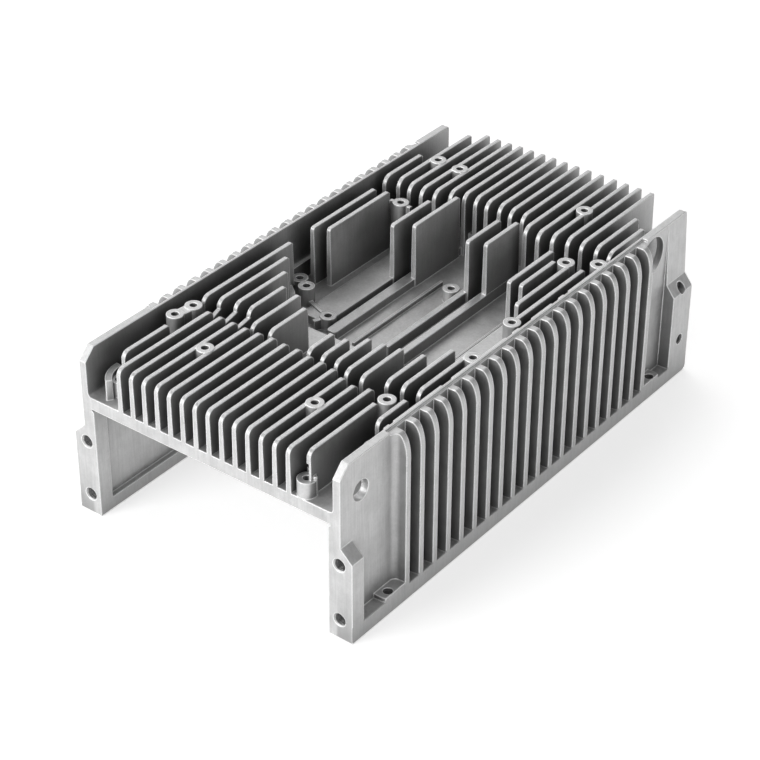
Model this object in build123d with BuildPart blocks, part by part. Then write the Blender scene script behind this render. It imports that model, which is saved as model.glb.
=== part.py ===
from build123d import *
import os

# Heat sink housing: one aluminium die casting, H shaped in section.
# X runs across the casting, Y along it (front end at -Y), Z up from the feet.

# overall sizes
LENGTH = 250.0
WIDTH = 147.4
DECK_TOP = 60.4
WALL_RISE = 21.9
REAR_OVERHANG = 6.8
OVERHANG_HALF = 48.0
OVERHANG_ROOT = 57.0

# side walls, rails and deck
DECK_THICK = 5.8
WALL_SETBACK = 9.3
WALL_THICK = 3.5
FIN_WALL_THICK = 1.6
LIP_THICK = 0.9
RAIL_INSIDE = 11.8
RAIL_THICK = 7.4
LEDGE_THICK = 6.0
CORNER_BREAK = 1.5
DECK_HAUNCH = 3.0
WALL_FILLET = 2.0
END_CHAMFER = 5.4
END_FILLET = 1.5

# corner legs
FRONT_LEG_LENGTH = 7.4
FRONT_LEG_TOP = 39.3
FRONT_FLARE = 5.6
REAR_LEG_LENGTH = 15.5
REAR_LEG_TOP = 45.5
REAR_FLARE = 5.5
REAR_WALL_DRAFT = 1.5
HEEL_FILLET = 2.5

# cooling fins outside the walls
SIDE_FIN_ROOT = 3.3
SIDE_FIN_TIP = 2.7
SIDE_FIN_DROP = 1.2
BAY_FILLET = 3.0
SHOULDER_IN = 4.6
SHOULDER_DROP = 11.0
RIGHT_FIN_COUNT = 20
RIGHT_FIN_FIRST = 34.1
RIGHT_FIN_PITCH = 9.28
LEFT_FIN_COUNT = 21
LEFT_FIN_FIRST = 43.9
LEFT_FIN_PITCH = 8.86

# upright fins on the deck
FIN_DROP = 1.0
FIN_ROOT = 2.4
FIN_TIP = 1.8
FRONT_NOSE = 3.4
FRONT_TAIL = 2.4
MIDDLE_NOSE = 4.0
REAR_NOSE = 4.8
PLATE_NOSE = 1.6
TAIL_CHAMFER = 0.8
FRONT_ROW_PITCH = 6.8
FRONT_ROW_CENTRE = -1.8

# sunken tray in the deck
TRAY_FLOOR_DROP = 10.6
TRAY_SHELF_DROP = 8.4
TRAY_SKIN = 5.0
TRAY_MARGIN = 4.0
TRAY_FRONT = 97.0
TRAY_REAR = 204.0
TRAY_RIGHT = 38.3
TRAY_CORNER = 3.0
SHELF_EDGE = 43.0

# bosses and holes
BOSS_RADIUS = 3.8
BOSS_HOLE = 1.7
BOSS_HOLE_DEPTH = 12.0
LEG_HOLE = 2.5
LEG_HOLE_DEPTH = 6.4
LEG_HOLE_X = 67.2
LEG_HOLE_LOW = 9.3
LEG_HOLE_HIGH = 36.6
LEG_SINK = 3.15
SIDE_HOLE_LOW = 20.0
SIDE_HOLE_HIGH = 47.0
SIDE_HOLE_INSET = 7.5
SIDE_HOLE_DEPTH = 9.0
CABLE_HOLE = 4.75
CABLE_HOLE_Y = 13.0
CABLE_HOLE_Z = 65.7
WINDOW_HOLE = 9.3
WINDOW_HOLE_Y = 28.0
WINDOW_HOLE_Z = 71.4

LOW_BOSS_RISE = 7.4
RAIL_BOSS_RADIUS = 4.8
RAIL_BOSS_RISE = 2.0
RAIL_BOSS_HOLE = 2.1
RAIL_BOSS_IN = 2.3
RAIL_BOSS_FRONT = 25.8
RAIL_BOSS_REAR = 28.5
PAD_THICK = 1.0
PAD_DROP = 0.4

# places taken from the sizes above
FRONT = -(LENGTH + REAR_OVERHANG) / 2
REAR = FRONT + LENGTH
HALF = WIDTH / 2
TOP = DECK_TOP + WALL_RISE
SIDE_FIN_TOP = TOP - SIDE_FIN_DROP
FIN_TOP = TOP - FIN_DROP
WALL_IN = HALF - WALL_SETBACK
WALL_OUT = WALL_IN + WALL_THICK
FIN_WALL_OUT = WALL_IN + FIN_WALL_THICK
RAIL_IN = HALF - RAIL_INSIDE
UNDERSIDE = DECK_TOP - DECK_THICK
TRAY_FLOOR = DECK_TOP - TRAY_FLOOR_DROP
TRAY_SHELF = DECK_TOP - TRAY_SHELF_DROP
ALONG = LENGTH / 250.0
ACROSS = WIDTH / 147.4

# The middle rows follow the parts they once cooled, so each fin has its own place:
# distance from the middle of the width, then where it starts and ends from the front end.
LEFT_FINS = [
    (-55.6, 62.3, 121.0),
    (-48.8, 64.4, 110.2),
    (-41.5, 66.6, 100.6),
    (-34.2, 66.6, 90.8),
    (-25.1, 58.0, 89.2),
    (-16.2, 58.8, 83.0),
]
RIGHT_FINS = [
    (5.1, 57.9, 74.5),
    (12.5, 57.6, 75.0),
    (19.5, 57.8, 80.8),
    (26.8, 55.3, 81.5),
    (34.4, 55.6, 83.0),
    (44.4, 59.2, 85.2),
    (51.4, 60.4, 95.2),
    (58.4, 61.7, 97.3),
]
CORNER_FINS = [
    (-52.9, 10.3, 37.5),
    (49.9, 3.5, 45.5),
    (58.1, 35.6, 54.6),
]
TRAY_PLATES = [
    (-56.1, 136.0, 181.3),
    (-49.7, 139.6, 183.0),
    (-29.6, 159.7, 188.2),
    (-21.6, 165.2, 198.7),
    (5.2, 168.5, 193.0),
    (12.9, 171.4, 196.5),
]
DECK_PLATES = [
    (38.9, 152.1, 185.3),
    (44.6, 152.8, 178.8),
    (51.8, 139.3, 182.2),
    (58.4, 129.7, 180.2),
]
# the front row starts at the front edge and only its ends differ
FRONT_ENDS = [57.0, 57.0, 57.0, 57.0, 57.4, 58.0, 57.6, 57.9, 56.7, 56.4, 55.3, 52.5, 51.0, 53.1]
REAR_FINS = [
    (-59.0, 192.0, 220.6),
    (-52.4, 194.0, 250.6),
    (-45.4, 192.8, 255.9),
    (-38.8, 193.2, 255.7),
    (-32.6, 194.8, 255.9),
    (-26.7, 199.0, 256.5),
    (-20.4, 201.0, 256.5),
    (-14.2, 201.3, 256.8),
    (-8.0, 201.2, 256.8),
    (-1.6, 202.2, 256.8),
    (4.9, 201.4, 256.8),
    (11.6, 201.2, 256.8),
    (18.5, 193.6, 256.8),
    (25.6, 193.1, 256.8),
    (32.1, 194.9, 256.8),
    (38.9, 196.7, 256.8),
    (45.8, 197.1, 256.5),
    (52.9, 198.2, 232.2),
    (59.9, 197.5, 226.0),
]
# bosses: across, from the front end, height of the top above the deck
DECK_BOSSES = [
    (-56.4, 45.8, 20.6),
    (-54.9, 55.7, 20.6),
    (-28.6, 33.2, 21.4),
    (31.4, 30.2, 21.4),
    (52.4, 49.4, 21.4),
    (-49.0, 220.4, 21.4),
    (-36.0, 219.6, 21.4),
    (30.9, 222.7, 21.4),
    (49.6, 179.9, 21.4),
    (58.8, 126.0, 21.4),
    (61.6, 94.5, 21.4),
    (61.6, 187.3, 21.4),
    (61.0, 29.6, 14.0),
]
TRAY_BOSSES = [
    (-48.3, 122.0, 0.6),
    (-31.0, 115.6, -5.1),
    (-57.0, 128.0, -1.4),
    (-44.7, 186.0, 15.6),
    (-1.5, 166.5, -4.6),
]
# low bosses at the front: across, from the front end, radius
LOW_BOSSES = [
    (-55.4, 9.6, 3.3),
    (48.4, 4.2, 4.1),
]
# curved guards beside the low bosses: three points on each, thickness, height above the deck
GUARDS = [
    ((-55.4, 3.8), (-59.4, 8.8), (-60.6, 15.5), 3.0, 9.6),
    ((45.5, 8.7), (49.4, 6.9), (52.1, 4.8), 1.4, 9.0),
]
# webs: from, to (across, from the front end), thickness, height above the deck
WEBS = [
    (-56.4, 45.8, -54.9, 55.7, 5.0, 20.3),
    (-46.0, 56.0, -48.8, 65.5, 1.8, 17.0),
    (-39.2, 56.0, -41.5, 68.2, 1.8, 17.0),
    (-32.4, 56.0, -34.2, 68.2, 1.8, 17.0),
    (-50.5, 186.0, -39.0, 186.0, 1.8, 15.0),
    (-48.3, 122.0, -31.0, 115.6, 2.0, -5.6),
    (-31.0, 115.6, -34.0, 109.0, 2.0, -5.6),
]
TRAY_RIBS = [
    (-36.0, 14.0, 112.0, 205.0, 4.2),
    (-23.5, 5.0, 108.0, 205.0, 4.0),
    (-12.0, 1.4, 109.0, 174.0, 2.2),
    (3.8, 2.8, 112.0, 205.0, 5.2),
    (12.5, 3.4, 107.0, 205.0, 5.6),
    (29.0, 1.2, 116.0, 205.0, 1.0),
    (37.4, 2.4, 122.0, 205.0, 1.8),
]
# thicker lengths of the right wall on its inner face: from, to
WALL_PADS = [
    (32.8, 36.0),
    (38.9, 70.2),
    (76.9, 114.4),
    (119.4, 123.7),
    (133.1, 147.9),
    (153.2, 156.9),
    (160.7, 190.2),
]
# outlines of the tray seen from above: its floor, its shelf and the block it is cut into
TRAY_OUTLINE = [
    (-SHELF_EDGE, 109.0),
    (-30.0, TRAY_FRONT),
    (30.0, TRAY_FRONT),
    (TRAY_RIGHT, 106.0),
    (TRAY_RIGHT, TRAY_REAR),
    (-SHELF_EDGE, TRAY_REAR),
]
SHELF_OUTLINE = [
    (-62.4, 125.0),
    (-50.0, 116.0),
    (-SHELF_EDGE + 1, 108.0),
    (-SHELF_EDGE + 1, TRAY_REAR),
    (-62.4, TRAY_REAR),
]
BLOCK_OUTLINE = [
    (-64.4, 126.0),
    (-50.0, 116.0),
    (-42.0, 106.0),
    (-30.0, TRAY_FRONT),
    (30.0, TRAY_FRONT),
    (TRAY_RIGHT, 106.0),
    (TRAY_RIGHT, TRAY_REAR),
    (-64.4, TRAY_REAR),
]

# H shaped body: rails, walls and deck
with BuildPart() as body:
    with BuildSketch(Plane.XZ.offset(-FRONT)) as section:
        with BuildLine():
            Polyline(
                (0, UNDERSIDE),
                (WALL_IN - CORNER_BREAK, UNDERSIDE),
                (WALL_IN, UNDERSIDE - DECK_HAUNCH),
                (WALL_IN, LEDGE_THICK),
                (RAIL_IN, LEDGE_THICK),
                (RAIL_IN, 0),
                (HALF, 0),
                (HALF, RAIL_THICK),
                (FIN_WALL_OUT, RAIL_THICK),
                (FIN_WALL_OUT, SIDE_FIN_TOP),
                (WALL_IN + LIP_THICK, SIDE_FIN_TOP),
                (WALL_IN + LIP_THICK, TOP),
                (WALL_IN, TOP),
                (WALL_IN, DECK_TOP),
                (0, DECK_TOP),
                close=True,
            )
        make_face()
        root = section.vertices().filter_by_position(Axis.X, WALL_IN - 0.01, WALL_IN + 0.01)
        fillet(root.filter_by_position(Axis.Y, DECK_TOP - 0.01, DECK_TOP + 0.01), WALL_FILLET)
        mirror(about=Plane.YZ)
    extrude(amount=-LENGTH)
    # the deck reaches out past the rear ends of the walls
    with BuildSketch(Plane.XY.offset(UNDERSIDE)):
        with BuildLine():
            Polyline(
                (-OVERHANG_ROOT * ACROSS, REAR - 1),
                (-OVERHANG_ROOT * ACROSS, REAR),
                (-OVERHANG_HALF * ACROSS, REAR + REAR_OVERHANG),
                (OVERHANG_HALF * ACROSS, REAR + REAR_OVERHANG),
                (OVERHANG_ROOT * ACROSS, REAR),
                (OVERHANG_ROOT * ACROSS, REAR - 1),
                close=True,
            )
        make_face()
    extrude(amount=DECK_THICK)

# outside of the walls seen from above: bays at both ends, fins between
for side, count, first, pitch in (
    (1, RIGHT_FIN_COUNT, RIGHT_FIN_FIRST, RIGHT_FIN_PITCH),
    (-1, LEFT_FIN_COUNT, LEFT_FIN_FIRST, LEFT_FIN_PITCH),
):
    start = FRONT + first * ALONG
    step = pitch * ALONG
    finish = start + step * (count - 1)
    with BuildPart() as comb:
        with BuildSketch(Plane.XY.offset(RAIL_THICK - 1)) as plan:
            for number in range(count):
                middle = start + step * number + SIDE_FIN_ROOT / 2
                with BuildLine():
                    Polyline(
                        (WALL_IN, middle - SIDE_FIN_ROOT / 2),
                        (FIN_WALL_OUT, middle - SIDE_FIN_ROOT / 2),
                        (HALF, middle - SIDE_FIN_TIP / 2),
                        (HALF, middle + SIDE_FIN_TIP / 2),
                        (FIN_WALL_OUT, middle + SIDE_FIN_ROOT / 2),
                        (WALL_IN, middle + SIDE_FIN_ROOT / 2),
                        close=True,
                    )
                make_face()
            with Locations((WALL_IN, FRONT)):
                Rectangle(WALL_THICK, start - FRONT + 1, align=(Align.MIN, Align.MIN))
            with Locations((WALL_IN, REAR)):
                Rectangle(WALL_THICK, REAR - finish - 1, align=(Align.MIN, Align.MAX))
            ends = plan.vertices().filter_by_position(Axis.X, WALL_OUT - 0.1, WALL_OUT + 0.1)
            ends = ends.filter_by_position(Axis.Y, FRONT + 1, REAR - 1)
            fillet(ends, BAY_FILLET)
        extrude(amount=TOP - RAIL_THICK + 1)
        # rounded shoulders of the fins
        with BuildSketch(Plane.XZ.offset(BAY_FILLET - start)) as shoulder:
            with BuildLine():
                Polyline(
                    (HALF - SHOULDER_IN, SIDE_FIN_TOP),
                    (WALL_IN - 1, SIDE_FIN_TOP),
                    (WALL_IN - 1, TOP + 1),
                    (HALF + 1, TOP + 1),
                    (HALF + 1, SIDE_FIN_TOP - SHOULDER_DROP),
                    (HALF, SIDE_FIN_TOP - SHOULDER_DROP),
                )
                EllipticalCenterArc(
                    (HALF - SHOULDER_IN, SIDE_FIN_TOP - SHOULDER_DROP),
                    SHOULDER_IN,
                    SHOULDER_DROP,
                    start_angle=0,
                    arc_size=90,
                )
            make_face()
        extrude(amount=start - finish - SIDE_FIN_ROOT - 2 * BAY_FILLET, mode=Mode.SUBTRACT)
    if side > 0:
        right_comb = comb.part
    else:
        left_comb = mirror(comb.part, about=Plane.YZ)

# upright fins in rows along the casting, each one drafted towards its tip
upright = []
for number, end in enumerate(FRONT_ENDS):
    place = FRONT_ROW_CENTRE + (number - (len(FRONT_ENDS) - 1) / 2) * FRONT_ROW_PITCH
    upright.append((place, 0.0, end, DECK_TOP, FRONT_NOSE, FRONT_TAIL))
for place, begin, end in REAR_FINS:
    upright.append((place, begin, end, DECK_TOP, REAR_NOSE, TAIL_CHAMFER))
for place, begin, end in LEFT_FINS + RIGHT_FINS:
    upright.append((place, begin, end, DECK_TOP, MIDDLE_NOSE, TAIL_CHAMFER))
for place, begin, end in CORNER_FINS:
    upright.append((place, begin, end, DECK_TOP, FRONT_NOSE, TAIL_CHAMFER))
for place, begin, end in DECK_PLATES:
    upright.append((place, begin, end, DECK_TOP, PLATE_NOSE, TAIL_CHAMFER))
for place, begin, end in TRAY_PLATES:
    upright.append((place, begin, end, TRAY_FLOOR, PLATE_NOSE, TAIL_CHAMFER))

blades = []
for place, begin, end, foot, nose, tail in upright:
    near = FRONT + begin * ALONG
    far = min(FRONT + end * ALONG, REAR + REAR_OVERHANG)
    with BuildPart() as blade:
        with BuildSketch(Plane.XZ.offset(-near)) as front_view:
            with BuildLine():
                Polyline(
                    (place * ACROSS - FIN_ROOT / 2, foot - 1),
                    (place * ACROSS - FIN_ROOT / 2, DECK_TOP),
                    (place * ACROSS - FIN_TIP / 2, FIN_TOP),
                    (place * ACROSS + FIN_TIP / 2, FIN_TOP),
                    (place * ACROSS + FIN_ROOT / 2, DECK_TOP),
                    (place * ACROSS + FIN_ROOT / 2, foot - 1),
                    close=True,
                )
            make_face()
        extrude(amount=near - far)
        tips = blade.edges().filter_by(Axis.X).group_by(Axis.Z)[-1].sort_by(Axis.Y)
        fillet(tips[0], nose)
        tips = blade.edges().filter_by(Axis.X).group_by(Axis.Z)[-1].sort_by(Axis.Y)
        if tail > TAIL_CHAMFER:
            fillet(tips[-1], tail)
        else:
            chamfer(tips[-1], tail)
    blades.append(blade.part)

# feet of the rear fins that start over the tray
with BuildPart() as toes:
    for place, begin, end in REAR_FINS:
        if begin < TRAY_REAR and place - FIN_ROOT / 2 < TRAY_RIGHT:
            with BuildSketch(Plane.XY.offset(TRAY_FLOOR - 1)):
                with Locations((place * ACROSS, FRONT + begin * ALONG)):
                    Rectangle(FIN_ROOT, (TRAY_REAR + 1 - begin) * ALONG, align=(Align.CENTER, Align.MIN))
            extrude(amount=DECK_TOP - TRAY_FLOOR + 1)

# bosses for the screws of the circuit board
pegs = []
for place, along, rise in DECK_BOSSES:
    pegs.append((place, along, DECK_TOP - 1, DECK_TOP + rise))
for place, along, rise in TRAY_BOSSES:
    pegs.append((place, along, TRAY_FLOOR - 1, DECK_TOP + rise))
with BuildPart() as bosses:
    for place, along, foot, head in pegs:
        with BuildSketch(Plane.XY.offset(foot)):
            with Locations((place * ACROSS, FRONT + along * ALONG)):
                Circle(BOSS_RADIUS)
        extrude(amount=head - foot)

# thin webs between bosses and fins, the two low front bosses and their curved guards
with BuildPart() as webs:
    for x_from, y_from, x_to, y_to, broad, rise in WEBS:
        foot = TRAY_FLOOR - 1 if y_from > TRAY_FRONT else DECK_TOP - 1
        with BuildSketch(Plane.XY.offset(foot)):
            with BuildLine():
                Line(
                    (x_from * ACROSS, FRONT + y_from * ALONG),
                    (x_to * ACROSS, FRONT + y_to * ALONG),
                )
            trace(line_width=broad)
        extrude(amount=DECK_TOP + rise - foot)
    for first, middle, last, broad, rise in GUARDS:
        with BuildSketch(Plane.XY.offset(DECK_TOP - 1)):
            with BuildLine():
                ThreePointArc(*[(x * ACROSS, FRONT + y * ALONG) for x, y in (first, middle, last)])
            trace(line_width=broad)
        extrude(amount=rise + 1)
    for place, along, radius in LOW_BOSSES:
        with BuildSketch(Plane.XY.offset(DECK_TOP - 1)):
            with Locations((place * ACROSS, FRONT + along * ALONG)):
                Circle(radius)
        extrude(amount=LOW_BOSS_RISE + 1)

# tapped bosses on the rails, one in each bay, joined to the wall and cut flush with the rail
with BuildPart() as rail_bosses:
    for along in (RAIL_BOSS_FRONT, LENGTH - RAIL_BOSS_REAR):
        with BuildSketch(Plane.XY.offset(RAIL_THICK - 1)):
            with Locations((HALF - RAIL_BOSS_IN, FRONT + along)):
                Circle(RAIL_BOSS_RADIUS)
                Rectangle(
                    RAIL_BOSS_RADIUS,
                    2 * RAIL_BOSS_RADIUS,
                    align=(Align.MAX, Align.CENTER),
                )
            with Locations((HALF, FRONT + along)):
                Rectangle(
                    4 * RAIL_BOSS_RADIUS,
                    4 * RAIL_BOSS_RADIUS,
                    align=(Align.MAX, Align.CENTER),
                    mode=Mode.INTERSECT,
                )
        extrude(amount=RAIL_BOSS_RISE + 1)

# raised floor between the right rail bosses, the wall and the nearest fins
right_start = FRONT + RIGHT_FIN_FIRST * ALONG
right_finish = right_start + RIGHT_FIN_PITCH * ALONG * (RIGHT_FIN_COUNT - 1)
with BuildPart() as rail_pads:
    for low, high in (
        (FRONT + RAIL_BOSS_FRONT, right_start + 1),
        (right_finish + 1, FRONT + LENGTH - RAIL_BOSS_REAR),
    ):
        with BuildSketch(Plane.XY.offset(RAIL_THICK - 1)):
            with Locations((HALF, low)):
                Rectangle(WALL_SETBACK - 1, high - low, align=(Align.MAX, Align.MIN))
        extrude(amount=RAIL_BOSS_RISE + 1)

# one front leg and one rear leg, on the right; the left ones are their mirror images
with BuildPart() as legs:
    with BuildSketch(Plane.XZ.offset(-FRONT)) as front_leg:
        with BuildLine():
            Polyline(
                (RAIL_IN, 0),
                (HALF, 0),
                (HALF, FRONT_LEG_TOP),
                (WALL_OUT, FRONT_LEG_TOP + FRONT_FLARE),
                (WALL_OUT, UNDERSIDE + 1),
                (RAIL_IN + CORNER_BREAK, UNDERSIDE + 1),
                (RAIL_IN + CORNER_BREAK, UNDERSIDE),
                (RAIL_IN, UNDERSIDE - DECK_HAUNCH / 2),
                close=True,
            )
        make_face()
    extrude(amount=-FRONT_LEG_LENGTH)
    with BuildSketch(Plane.XZ.offset(-REAR)) as rear_leg:
        with BuildLine():
            Polyline(
                (RAIL_IN, 0),
                (HALF, 0),
                (HALF, REAR_LEG_TOP),
                (WALL_OUT + REAR_WALL_DRAFT, REAR_LEG_TOP + REAR_FLARE),
                (WALL_OUT, TOP),
                (WALL_IN, TOP),
                (WALL_IN, UNDERSIDE),
                (RAIL_IN + CORNER_BREAK, UNDERSIDE),
                (RAIL_IN, UNDERSIDE - DECK_HAUNCH / 2),
                close=True,
            )
        make_face()
    extrude(amount=REAR_LEG_LENGTH)

# tray: a block hung under the deck, hollowed from above
with BuildPart() as tray:
    with BuildSketch(Plane.XY.offset(TRAY_FLOOR - TRAY_SKIN)):
        with BuildLine():
            Polyline([(x * ACROSS, FRONT + y * ALONG) for x, y in BLOCK_OUTLINE], close=True)
        make_face()
        offset(amount=TRAY_MARGIN, kind=Kind.INTERSECTION)
        Rectangle(2 * WALL_IN + 1, 2 * LENGTH, mode=Mode.INTERSECT)
    extrude(amount=UNDERSIDE - TRAY_FLOOR + TRAY_SKIN + 1)

with BuildPart() as hollow:
    with BuildSketch(Plane.XY.offset(TRAY_FLOOR)) as hollow_plan:
        with BuildLine():
            Polyline([(x * ACROSS, FRONT + y * ALONG) for x, y in TRAY_OUTLINE], close=True)
        make_face()
        fillet(hollow_plan.vertices(), TRAY_CORNER)
    extrude(amount=DECK_TOP - TRAY_FLOOR + 0.5)
    with BuildSketch(Plane.XY.offset(TRAY_SHELF)):
        with BuildLine():
            Polyline([(x * ACROSS, FRONT + y * ALONG) for x, y in SHELF_OUTLINE], close=True)
        make_face()
    extrude(amount=DECK_TOP - TRAY_SHELF + 0.5)

with BuildPart() as ribs:
    for place, broad, begin, end, rise in TRAY_RIBS:
        with BuildSketch(Plane.XY.offset(TRAY_FLOOR - 1)):
            with Locations((place * ACROSS, FRONT + (begin + end) / 2 * ALONG)):
                RectangleRounded(broad, (end - begin) * ALONG, broad * 0.3)
        extrude(amount=rise + 1)

# thicker lengths on the inner face of the right wall
with BuildPart() as pads:
    for begin, end in WALL_PADS:
        with BuildSketch(Plane.XY.offset(DECK_TOP - 1)):
            with Locations((WALL_IN - PAD_THICK, FRONT + begin * ALONG)):
                Rectangle(PAD_THICK + 0.5, (end - begin) * ALONG, align=(Align.MIN, Align.MIN))
        extrude(amount=WALL_RISE + 1 - PAD_DROP)

# the casting
with BuildPart() as heat_sink_housing:
    add(body.part)
    add(right_comb)
    add(left_comb)
    add(legs.part)
    mirror(legs.part, about=Plane.YZ)
    add(rail_bosses.part)
    mirror(rail_bosses.part, about=Plane.YZ)
    add(rail_pads.part)
    add(tray.part)
    add(hollow.part, mode=Mode.SUBTRACT)
    add(ribs.part)
    add(blades)
    add(toes.part)
    add(bosses.part)
    add(webs.part)
    add(pads.part)

    # slanted front corners and rounded rear corners of the wall tops
    top_edges = heat_sink_housing.edges().filter_by(Axis.X)
    top_edges = top_edges.filter_by_position(Axis.Z, TOP - 0.1, TOP + 0.1)
    top_edges = [edge for edge in top_edges if abs(edge.center().X) > WALL_IN]
    top_edges = sorted(top_edges, key=lambda edge: edge.center().Y)
    chamfer(top_edges[:2], END_CHAMFER)
    top_edges = heat_sink_housing.edges().filter_by(Axis.X)
    top_edges = top_edges.filter_by_position(Axis.Z, TOP - 0.1, TOP + 0.1)
    top_edges = [edge for edge in top_edges if abs(edge.center().X) > WALL_IN]
    top_edges = sorted(top_edges, key=lambda edge: edge.center().Y)
    fillet(top_edges[-2:], END_FILLET)

    # rounded heels of the rear legs
    heels = heat_sink_housing.edges().filter_by(Axis.X)
    heels = heels.filter_by_position(Axis.Z, -0.1, 0.1)
    fillet(heels.group_by(Axis.Y)[-1], HEEL_FILLET)

    # tapped holes in the ends of the front legs
    for side in (-1, 1):
        for height in (LEG_HOLE_LOW, LEG_HOLE_HIGH):
            with Locations(Plane(origin=(side * LEG_HOLE_X, FRONT, height), z_dir=(0, -1, 0))):
                CounterSinkHole(LEG_HOLE, LEG_SINK, depth=LEG_HOLE_DEPTH)
        # tapped holes in the sides of the rear legs
        for height in (SIDE_HOLE_LOW, SIDE_HOLE_HIGH):
            with Locations(Plane(origin=(side * HALF, REAR - SIDE_HOLE_INSET, height), z_dir=(side, 0, 0))):
                Hole(LEG_HOLE, depth=SIDE_HOLE_DEPTH)

    # small round hole at the front and large one at the rear of the right wall
    with Locations(Plane(origin=(HALF, FRONT + CABLE_HOLE_Y, CABLE_HOLE_Z), z_dir=(1, 0, 0))):
        Hole(CABLE_HOLE, depth=WALL_SETBACK + 1)
    with Locations(Plane(origin=(HALF, REAR - WINDOW_HOLE_Y, WINDOW_HOLE_Z), z_dir=(1, 0, 0))):
        Hole(WINDOW_HOLE, depth=WALL_SETBACK + 1)

    # tapped holes in the bosses
    for place, along, foot, head in pegs:
        with Locations((place * ACROSS, FRONT + along * ALONG, head)):
            Hole(BOSS_HOLE, depth=min(BOSS_HOLE_DEPTH, head - foot))
    for place, along, radius in LOW_BOSSES:
        with Locations((place * ACROSS, FRONT + along * ALONG, DECK_TOP + LOW_BOSS_RISE)):
            Hole(BOSS_HOLE, depth=LOW_BOSS_RISE)
    for side in (-1, 1):
        for along in (RAIL_BOSS_FRONT, LENGTH - RAIL_BOSS_REAR):
            spot = (side * (HALF - RAIL_BOSS_IN), FRONT + along, RAIL_THICK + RAIL_BOSS_RISE)
            with Locations(spot):
                Hole(RAIL_BOSS_HOLE, depth=RAIL_THICK)

heat_sink_housing.part.label = "heat_sink_housing"
os.makedirs("parts", exist_ok=True)
export_step(heat_sink_housing.part, "parts/heat_sink_housing.step")
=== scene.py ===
import bpy
import math
from mathutils import Matrix, Vector


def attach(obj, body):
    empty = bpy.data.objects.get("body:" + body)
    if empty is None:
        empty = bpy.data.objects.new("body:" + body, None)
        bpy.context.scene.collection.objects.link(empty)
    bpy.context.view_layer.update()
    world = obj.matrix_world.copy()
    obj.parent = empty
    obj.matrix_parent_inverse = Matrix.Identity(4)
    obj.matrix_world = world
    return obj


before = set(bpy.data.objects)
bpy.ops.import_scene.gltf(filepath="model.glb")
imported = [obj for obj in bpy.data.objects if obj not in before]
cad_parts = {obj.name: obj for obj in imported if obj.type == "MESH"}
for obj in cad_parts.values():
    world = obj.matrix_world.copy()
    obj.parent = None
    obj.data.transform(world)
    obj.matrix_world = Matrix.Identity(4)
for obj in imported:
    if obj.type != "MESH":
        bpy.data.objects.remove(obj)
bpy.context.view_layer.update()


class Sock:
    """One output of a shader node; plain arithmetic on it adds the matching maths node."""

    def __init__(self, tree, out):
        self.tree = tree
        self.out = out

    def __add__(self, other):
        return self.node("ShaderNodeMath", {0: self, 1: other}, operation="ADD")

    def __sub__(self, other):
        return self.node("ShaderNodeMath", {0: self, 1: other}, operation="SUBTRACT")

    def __rsub__(self, other):
        return self.node("ShaderNodeMath", {0: other, 1: self}, operation="SUBTRACT")

    def __mul__(self, other):
        return self.node("ShaderNodeMath", {0: self, 1: other}, operation="MULTIPLY")

    def __abs__(self):
        return self.node("ShaderNodeMath", {0: self}, operation="ABSOLUTE")

    __radd__ = __add__
    __rmul__ = __mul__

    def over(self, low, high):
        """0 at low, 1 at high, held between."""
        return self.node("ShaderNodeMapRange", {0: self, 1: low, 2: high})

    def feed(self, node, values):
        """Links or sets inputs of a node in the same tree, by their name or place."""
        for name, value in values.items():
            if isinstance(value, Sock):
                self.tree.links.new(value.out, node.inputs[name])
            else:
                node.inputs[name].default_value = value

    def node(self, kind, values=None, output=0, **settings):
        """A new node in the same tree: settings are its options, values its inputs."""
        node = self.tree.nodes.new(kind)
        for name, value in settings.items():
            setattr(node, name, value)
        self.feed(node, values or {})
        return Sock(self.tree, node.outputs[output])


# The casting: one piece of die-cast aluminium, 257 mm long over the deck, 147 mm wide and
# 82 mm tall. Its skin is finely blasted, a little mottled and faintly streaked. Its colour also
# carries a painted highlight on its edges and painted shade in the gaps, with painted light
# where it looks up, or forward between the walls.
def start_finish(name):
    """A new material, its shader, and the place on the piece that its patterns follow."""
    material = bpy.data.materials.new(name)
    material.use_nodes = True
    tree = material.node_tree
    place = Sock(tree, tree.nodes.new("ShaderNodeTexCoord").outputs["Object"])
    return material, tree.nodes["Principled BSDF"], place


def speckle(place, **values):
    """Noise over the surface."""
    return place.node("ShaderNodeTexNoise", {"Vector": place, **values})


def facing(normal, way):
    """1 where a normal points along a direction, 0 where it stands across it."""
    return normal.node("ShaderNodeVectorMath", {0: normal, 1: way}, output="Value", operation="DOT_PRODUCT")


def blend(share, low, high):
    """The colour low where share is 0, high where it is 1; a plain number is that grey."""
    low, high = (end if isinstance(end, Sock) else (end, end, end, 1.0) for end in (low, high))
    return share.node("ShaderNodeMix", {0: share, 6: low, 7: high}, output=2, data_type="RGBA")


noise_low = 0.3
noise_high = 0.7
edge_radius = 0.0008
gap_width = 0.03
rail_side = 0.0737
rail_face_low = 0.0009
rail_face_high = 0.0084
mask_step = 0.0001
wall_middle = 0.0665
wall_inside = 0.064
# painted shade: the dark grey that the gaps between the fins are painted
painted_gap_shade_grey = 0.14
dull_grey = 0.44
pale_grey = 0.72
# painted highlight: the near-white that the edges are painted
painted_highlight_grey = 1.0

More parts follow.
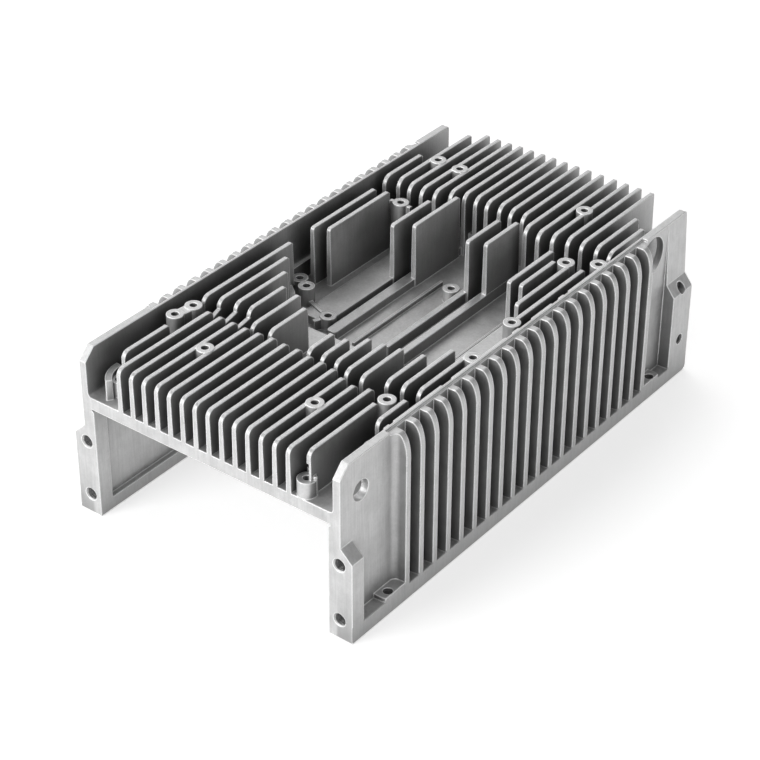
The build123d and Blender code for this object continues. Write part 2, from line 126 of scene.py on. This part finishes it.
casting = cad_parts["heat_sink_housing"]
skin, shade, place = start_finish("cast_aluminium_skin")
grain = speckle(place, Scale=1400.0, Detail=4.0, Roughness=0.6)
patches = speckle(place, Scale=110.0, Detail=5.0, Roughness=0.65).over(noise_low, noise_high)
upright = place.node("ShaderNodeMapping", {"Vector": place, "Scale": (1.0, 1.0, 0.06)})
streaks = speckle(upright, Scale=900.0, Detail=3.0, Roughness=0.6).over(noise_low, noise_high)
round_edge = place.node("ShaderNodeBevel", {"Radius": edge_radius}, samples=8)
flat = place.node("ShaderNodeNewGeometry", output="Normal")
flatness = facing(round_edge, flat)
# ambient occlusion: how closed in the surface is, used to paint shade into the gaps and to keep the painted
# edge highlight out of them
openness = place.node("ShaderNodeAmbientOcclusion", {"Distance": gap_width}, output="AO", samples=8)
from_middle = abs(place.node("ShaderNodeSeparateXYZ", {0: place}, output="X"))
height = place.node("ShaderNodeSeparateXYZ", {0: place}, output="Z")
rail_face = (
    from_middle.over(rail_side - 2 * mask_step, rail_side - mask_step)
    * height.over(rail_face_high + mask_step, rail_face_high - mask_step)
    * height.over(rail_face_low - mask_step, rail_face_low + mask_step)
)
# painted light: faces that look up, or forward between the walls, are kept at the skin's full tone instead
# of the painted gap shade
looks_up = facing(flat, (0.0, 0.0, 1.0)).over(0.5, 0.95)
looks_front = facing(flat, (0.0, -1.0, 0.0)).over(0.5, 0.95)
painted_light_facing = looks_up + looks_front * from_middle.over(wall_middle, wall_inside)
# painted highlight on the bevelled edges, only where they are open, and left off the thin rail face
painted_edge_highlight = flatness.over(0.998, 0.95) * openness.over(0.05, 0.4) * (1.0 - rail_face)
mottle = patches * 0.5 + streaks * 0.3 + grain.over(noise_low, noise_high) * 0.2
tone = blend(mottle, dull_grey, pale_grey)
# painted shade and light: the colour falls to the painted gap grey where the surface is closed in, and
# stays at the skin's tone where it is open or faces up, or forward between the walls
tone_with_painted_shade_and_light = blend(openness.over(0.1, 0.95) + painted_light_facing * 0.9, painted_gap_shade_grey, tone)
bump = {"Strength": 0.12, "Distance": 0.0002, "Height": grain, "Normal": round_edge}
# the colour carries the painted edge highlight, the painted shade and the painted light; metal and
# roughness are lowered along the painted highlight
place.feed(shade, {
    "Base Color": blend(painted_edge_highlight, tone_with_painted_shade_and_light, painted_highlight_grey),
    "Metallic": 0.6 - painted_edge_highlight * 0.3,
    "Roughness": patches * 0.16 + 0.38 - painted_edge_highlight * 0.12,
    "Normal": place.node("ShaderNodeBump", bump),
})
casting.data.materials.clear()
casting.data.materials.append(skin)

# Threads of the tapped holes: M6 in the ends and sides of the legs, M5 in the rails and M4
# in the bosses. Each is shown as a helical ridge 0.25 mm high on the wall of its hole, in
# the same metal, bare, with its colour darkened nearly to black as painted shade inside the hole.
steps_per_turn = 24
ridge = 0.00025
sunk = 0.00005
foot = 0.4
crest = 0.05
front_leg_end = -0.1284
front_leg_across = 0.0672
front_leg_heights = (0.0093, 0.0366)
rear_leg_along = 0.1141
rear_leg_faces = ((0.0737, 0.020), (0.0704, 0.047))
rail_across = 0.0714
rail_along = (-0.1026, 0.0931)
rail_boss_top = 0.0094
half_length_mm = 128.4
deck_top_mm = 60.4
backwards = (0, 1, 0)
downwards = (0, 0, -1)
sides = (-1, 1)
front_leg_holes = [
    ((side * front_leg_across, front_leg_end, up), backwards)
    for side in sides for up in front_leg_heights
]
rear_leg_holes = [
    ((side * across, rear_leg_along, up), (-side, 0, 0))
    for across, up in rear_leg_faces for side in sides
]
rail_holes = [
    ((side * rail_across, along, rail_boss_top), downwards)
    for side in sides for along in rail_along
]
boss_holes = [
    ((across / 1000, (along - half_length_mm) / 1000, (deck_top_mm + rise) / 1000), downwards)
    for across, along, rise in (
        (-56.4, 45.8, 20.6), (-54.9, 55.7, 20.6), (-28.6, 33.2, 21.4), (31.4, 30.2, 21.4),
        (52.4, 49.4, 21.4), (-49.0, 220.4, 21.4), (-36.0, 219.6, 21.4), (30.9, 222.7, 21.4),
        (49.6, 179.9, 21.4), (58.8, 126.0, 21.4), (61.6, 94.5, 21.4), (61.6, 187.3, 21.4),
        (61.0, 29.6, 14.0), (-48.3, 122.0, 0.6), (-31.0, 115.6, -5.1), (-57.0, 128.0, -1.4),
        (-44.7, 186.0, 15.6), (-1.5, 166.5, -4.6), (-55.4, 9.6, 7.4), (48.4, 4.2, 7.4),
    )
]


def thread_mesh(name, holes, bore, pitch, turns):
    """Helical ridges for holes of one size; each hole is its mouth and the way into it."""
    profile = ((bore + sunk, -foot), (bore - ridge, -crest), (bore - ridge, crest), (bore + sunk, foot))
    points = []
    faces = []
    for mouth, inward in holes:
        inward = Vector(inward)
        outward = inward.orthogonal().normalized()
        beside = inward.cross(outward)
        for step in range(steps_per_turn * turns + 1):
            angle = 2 * math.pi / steps_per_turn * step
            arm = outward * math.cos(angle) + beside * math.sin(angle)
            depth = pitch * (0.5 + step / steps_per_turn)
            first = len(points)
            for reach, along in profile:
                points.append(Vector(mouth) + arm * reach + inward * (depth + pitch * along))
            if step:
                faces += [(first + k - 4, first + k, first + k + 1, first + k - 3) for k in range(3)]
    mesh = bpy.data.meshes.new(name)
    mesh.from_pydata(points, [], faces)
    return mesh


thread_metal_painted_dark, shade, place = start_finish("cut_aluminium_painted_shade")
swirl = speckle(place, Scale=1800.0, Detail=2.0)
# painted shade: the threads are coloured nearly black to stand for the shade inside the holes
place.feed(shade, {"Base Color": blend(swirl, 0.05, 0.30), "Metallic": 0.9, "Roughness": 0.3})
for name, holes, bore, pitch, turns in (
    ("threads_front_legs", front_leg_holes, 0.0025, 0.001, 5),
    ("threads_rear_legs", rear_leg_holes, 0.0025, 0.001, 4),
    ("threads_rails", rail_holes, 0.0021, 0.0008, 6),
    ("threads_bosses", boss_holes, 0.0017, 0.0007, 6),
):
    mesh = thread_mesh(name, holes, bore, pitch, turns)
    mesh.materials.append(thread_metal_painted_dark)
    threads = bpy.data.objects.new(name, mesh)
    bpy.context.collection.objects.link(threads)
    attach(threads, "root")

# Floor: a pale paper sweep laid flat under the rails. It takes the casting's shadow, and to
# the camera and in reflections it glows, so that it shows as the white of a product picture.
floor_size = 6.0
sweep_grey = 0.72
sweep_glow = 0.60
bpy.ops.mesh.primitive_plane_add(size=floor_size, location=(0, 0, 0))
floor = bpy.context.object
floor.name = "floor"
paper, shade, place = start_finish("paper")
to_camera = place.node("ShaderNodeLightPath", output="Is Camera Ray")
seen = to_camera + place.node("ShaderNodeLightPath", output="Is Glossy Ray")
pale = blend(speckle(place, Scale=90.0), 0.90, 0.92)
place.feed(shade, {
    "Base Color": blend(seen, pale, sweep_grey),
    "Roughness": 0.9,
    "Emission Color": blend(seen, 0.0, sweep_glow),
    "Emission Strength": 1.0,
})
floor.data.materials.append(paper)

# Light: a white room with six square soft lamps turned to the casting. The strongest stands
# in front on the left, the rest behind, above, at both sides and in front on the right.
white = (1.0, 1.0, 1.0, 1.0)
room_strength = 0.25
aim = Vector((0, 0, 0.04))
world = bpy.data.worlds.new("studio")
bpy.context.scene.world = world
world.use_nodes = True
tree = world.node_tree
tree.nodes.clear()
to_camera = Sock(tree, tree.nodes.new("ShaderNodeLightPath").outputs["Is Camera Ray"])
room = to_camera.node("ShaderNodeBackground", {"Color": white, "Strength": room_strength})
backdrop = to_camera.node("ShaderNodeBackground", {"Color": white, "Strength": 1.0})
studio = to_camera.node("ShaderNodeMixShader", {0: to_camera, 1: room, 2: backdrop})
studio.feed(tree.nodes.new("ShaderNodeOutputWorld"), {0: studio})
for name, spot, size, power in (
    ("key_light", (-0.7, -1.8, 1.0), 1.0, 25.0),
    ("back_light", (-1.15, 1.3, 1.3), 2.0, 11.0),
    ("top_light", (-0.9, 0.5, 1.9), 1.0, 7.0),
    ("left_light", (-1.8, -0.6, 0.9), 0.6, 8.0),
    ("fill_light", (0.8, -1.8, 0.5), 1.0, 9.0),
    ("side_light", (1.8, 0.4, 0.4), 1.4, 5.0),
):
    lamp = bpy.data.lights.new(name, "AREA")
    lamp.size = size
    lamp.energy = power
    lamp_object = bpy.data.objects.new(name, lamp)
    lamp_object.location = spot
    lamp_object.rotation_euler = (aim - Vector(spot)).to_track_quat("-Z", "Y").to_euler()
    bpy.context.collection.objects.link(lamp_object)

# Camera: from the front right, a little above, as the product picture was taken. Its place,
# angles and lens were fitted to edges of the casting.
camera_place = (0.499856, -0.665015, 0.587251)
turn = math.radians(37.582)
lift = math.radians(33.952)
roll = math.radians(0.23)
back = Vector((math.sin(turn) * math.cos(lift), -math.cos(turn) * math.cos(lift), math.sin(lift)))
right = Vector((math.cos(turn), math.sin(turn), 0.0))
up = back.cross(right)
picture_right = right * math.cos(roll) + up * math.sin(roll)
picture_up = up * math.cos(roll) - right * math.sin(roll)
axes = Matrix((picture_right, picture_up, back)).transposed().to_4x4()
camera = bpy.data.cameras.new("camera")
camera.sensor_width = 36.0
camera.lens = 107.58
camera_object = bpy.data.objects.new("camera", camera)
bpy.context.collection.objects.link(camera_object)
camera_object.matrix_world = Matrix.Translation(camera_place) @ axes
bpy.context.scene.camera = camera_object
bpy.context.scene.view_settings.view_transform = "Standard"
